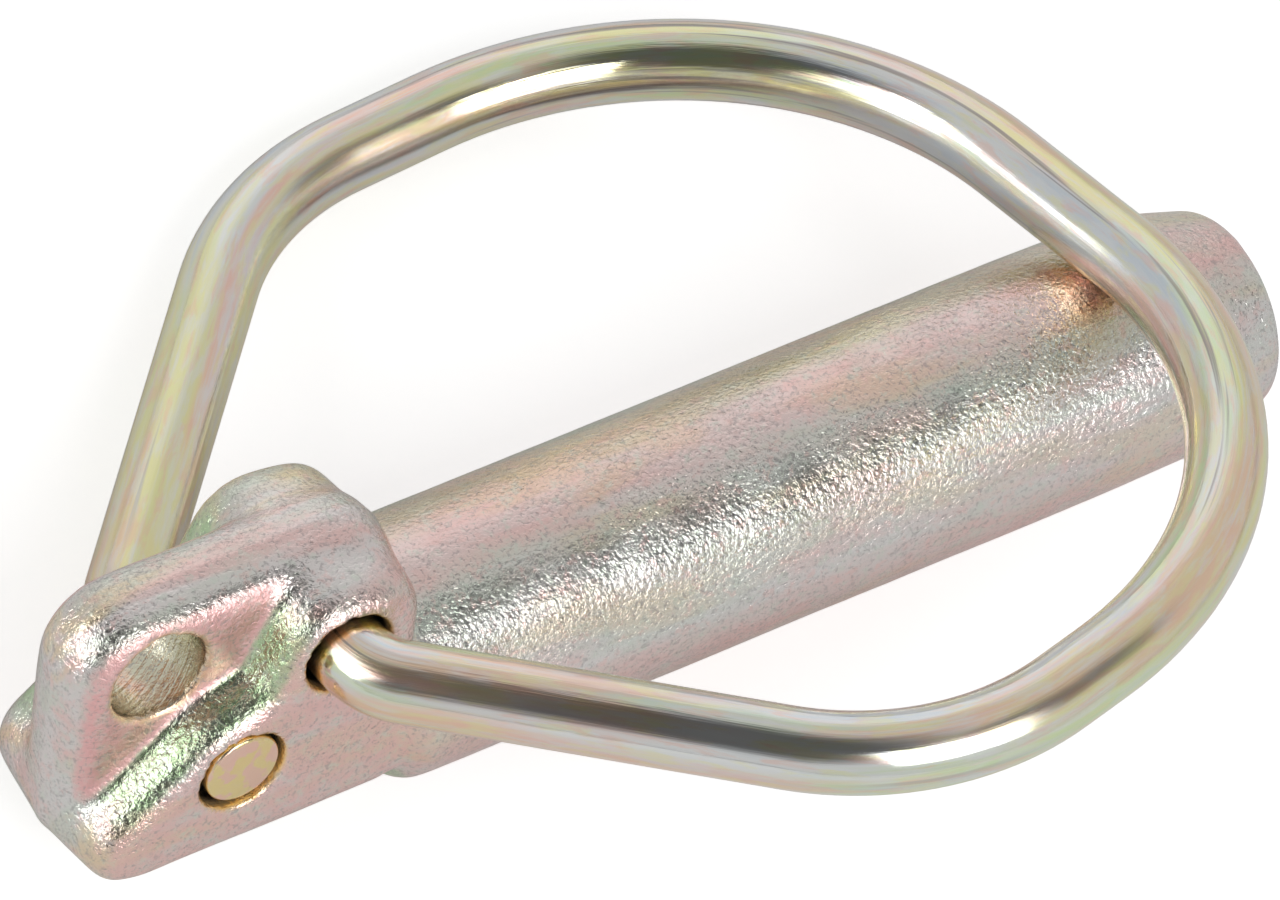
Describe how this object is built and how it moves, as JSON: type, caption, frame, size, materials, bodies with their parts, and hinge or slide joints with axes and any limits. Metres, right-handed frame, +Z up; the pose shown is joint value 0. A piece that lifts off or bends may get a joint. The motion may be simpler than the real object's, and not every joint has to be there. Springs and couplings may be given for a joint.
{
  "type": "lynch pin",
  "caption": "Over-centre lynch pin: a drop-forged round pin with a flat, holed head and a sprung wire ring that snaps down over the shank to lock it.",
  "frame": {"origin": "centre of the shank's circle at the shoulder under the head, on the pin's axis", "axes": "+X along the shank towards its tip; +Z up with the pin lying as it comes to rest, on its shank and on the ring's lower side; the head's height direction leans 17.9 degrees from +Z towards +Y"},
  "size_m": [0.0545, 0.0402, 0.02],
  "materials": {
    "forging": "drop-forged carbon steel, grainy as forged, zinc plated with a yellow and pink iridescent passivation",
    "wire": "smooth drawn spring wire, zinc plated with a yellow and green iridescent passivation"
  },
  "bodies": {
    "pin": {"forged_pin": "forging"},
    "ring": {"spring_ring": "wire"}
  },
  "joints": [
    {"name": "ring_hinge", "type": "hinge", "parent": "pin", "child": "ring", "pos_m": [-0.00598, 0.0012, 0.00374], "axis": [0, -0.9518, 0.3068], "range_deg": [0, 180], "deforming": ["spring_ring"]}
  ]
}
